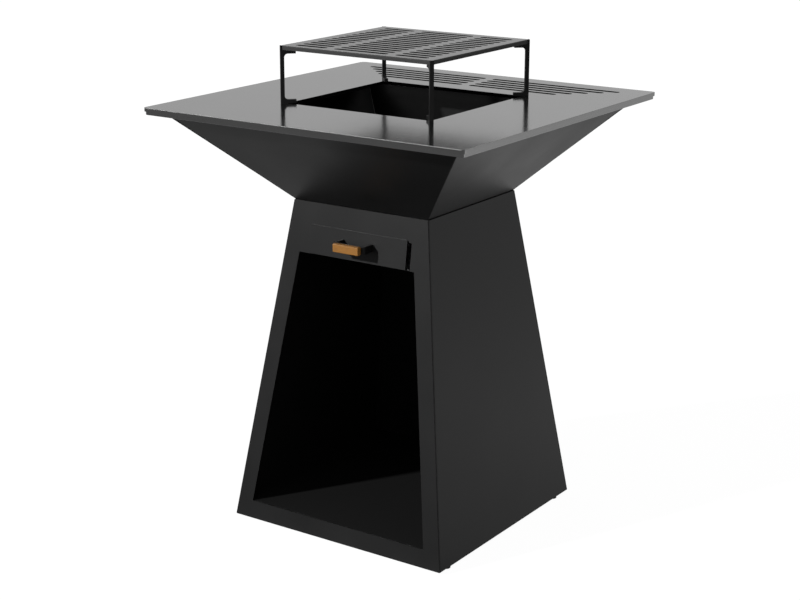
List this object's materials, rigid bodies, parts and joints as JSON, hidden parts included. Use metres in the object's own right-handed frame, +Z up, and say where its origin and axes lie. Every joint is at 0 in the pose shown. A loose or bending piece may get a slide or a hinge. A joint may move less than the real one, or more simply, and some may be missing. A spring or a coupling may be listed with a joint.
{
  "type": "plancha barbecue",
  "caption": "Free-standing fire barbecue: square griddle plate with a raised grill grate over a pyramid bowl, on a tapered pedestal with a log store and an ash drawer.",
  "frame": {"origin": "on the floor, under the middle of the pedestal", "axes": "+Z up, -Y out of the front with the ash drawer and the log store, +X to the right seen from the front"},
  "size_m": [0.8, 0.8, 1.0688],
  "materials": {
    "black_paint": "black powder coat, satin",
    "bowl_paint": "black heat-proof paint, satin",
    "griddle_steel": "oiled dark steel, satin to glossy",
    "grate_steel": "dark grey steel, satin",
    "leg_paint": "black powder coat, matt",
    "zinc_sheet": "galvanised sheet",
    "fastener_steel": "plain steel",
    "oiled_oak": "oiled, satin",
    "foot_plastic": "matt"
  },
  "bodies": {
    "pedestal": {"front_panel": "black_paint", "back_panel": "black_paint", "right_panel": "black_paint", "left_panel": "black_paint", "pedestal_top_plate": "black_paint", "log_store_floor": "black_paint", "right_channel": "black_paint", "left_channel": "black_paint", "foot_front_left": "foot_plastic", "foot_front_right": "foot_plastic", "foot_back_left": "foot_plastic", "foot_back_right": "foot_plastic", "foot_nut_front_left": "fastener_steel", "foot_nut_front_right": "fastener_steel", "foot_nut_back_left": "fastener_steel", "foot_nut_back_right": "fastener_steel", "ash_shelf": "black_paint", "right_drawer_guide": "zinc_sheet", "left_drawer_guide": "zinc_sheet", "ash_chute": "zinc_sheet", "bowl_front": "bowl_paint", "bowl_right": "bowl_paint", "bowl_back": "bowl_paint", "bowl_left": "bowl_paint", "bowl_floor": "bowl_paint", "bowl_rim": "griddle_steel", "bowl_bolt_front_left": "fastener_steel", "bowl_bolt_front_right": "fastener_steel", "bowl_bolt_back_left": "fastener_steel", "bowl_bolt_back_right": "fastener_steel", "bowl_nut_front_left": "fastener_steel", "bowl_nut_front_right": "fastener_steel", "bowl_nut_back_left": "fastener_steel", "bowl_nut_back_right": "fastener_steel"},
    "griddle": {"griddle_plate": "griddle_steel", "plate_lug_front": "black_paint", "plate_lug_right": "black_paint", "plate_lug_back": "black_paint", "plate_lug_left": "black_paint"},
    "raised_grate": {"grill_grate": "grate_steel", "grate_leg_front_left": "leg_paint", "grate_leg_front_right": "leg_paint", "grate_leg_back_left": "leg_paint", "grate_leg_back_right": "leg_paint", "grate_screw_front_left": "fastener_steel", "grate_screw_front_right": "fastener_steel", "grate_screw_back_left": "fastener_steel", "grate_screw_back_right": "fastener_steel"},
    "fire_bed": {"fire_grate": "grate_steel"},
    "ash_drawer": {"ash_tray": "zinc_sheet", "drawer_front": "black_paint", "handle_bracket": "leg_paint", "handle_grip": "oiled_oak", "handle_screw_right": "fastener_steel", "handle_screw_left": "fastener_steel"}
  },
  "joints": [
    {"name": "drawer_slide", "type": "slide", "parent": "pedestal", "child": "ash_drawer", "axis": [0, -1, 0], "range_m": [0, 0.26]},
    {"name": "griddle_lift", "type": "slide", "parent": "pedestal", "child": "griddle", "axis": [0, 0, 1], "range_m": [0, 0.15]},
    {"name": "grate_lift", "type": "slide", "parent": "griddle", "child": "raised_grate", "axis": [0, 0, 1], "range_m": [0, 0.2]},
    {"name": "fire_grate_lift", "type": "slide", "parent": "pedestal", "child": "fire_bed", "axis": [0, 0, 1], "range_m": [0, 0.26]}
  ]
}
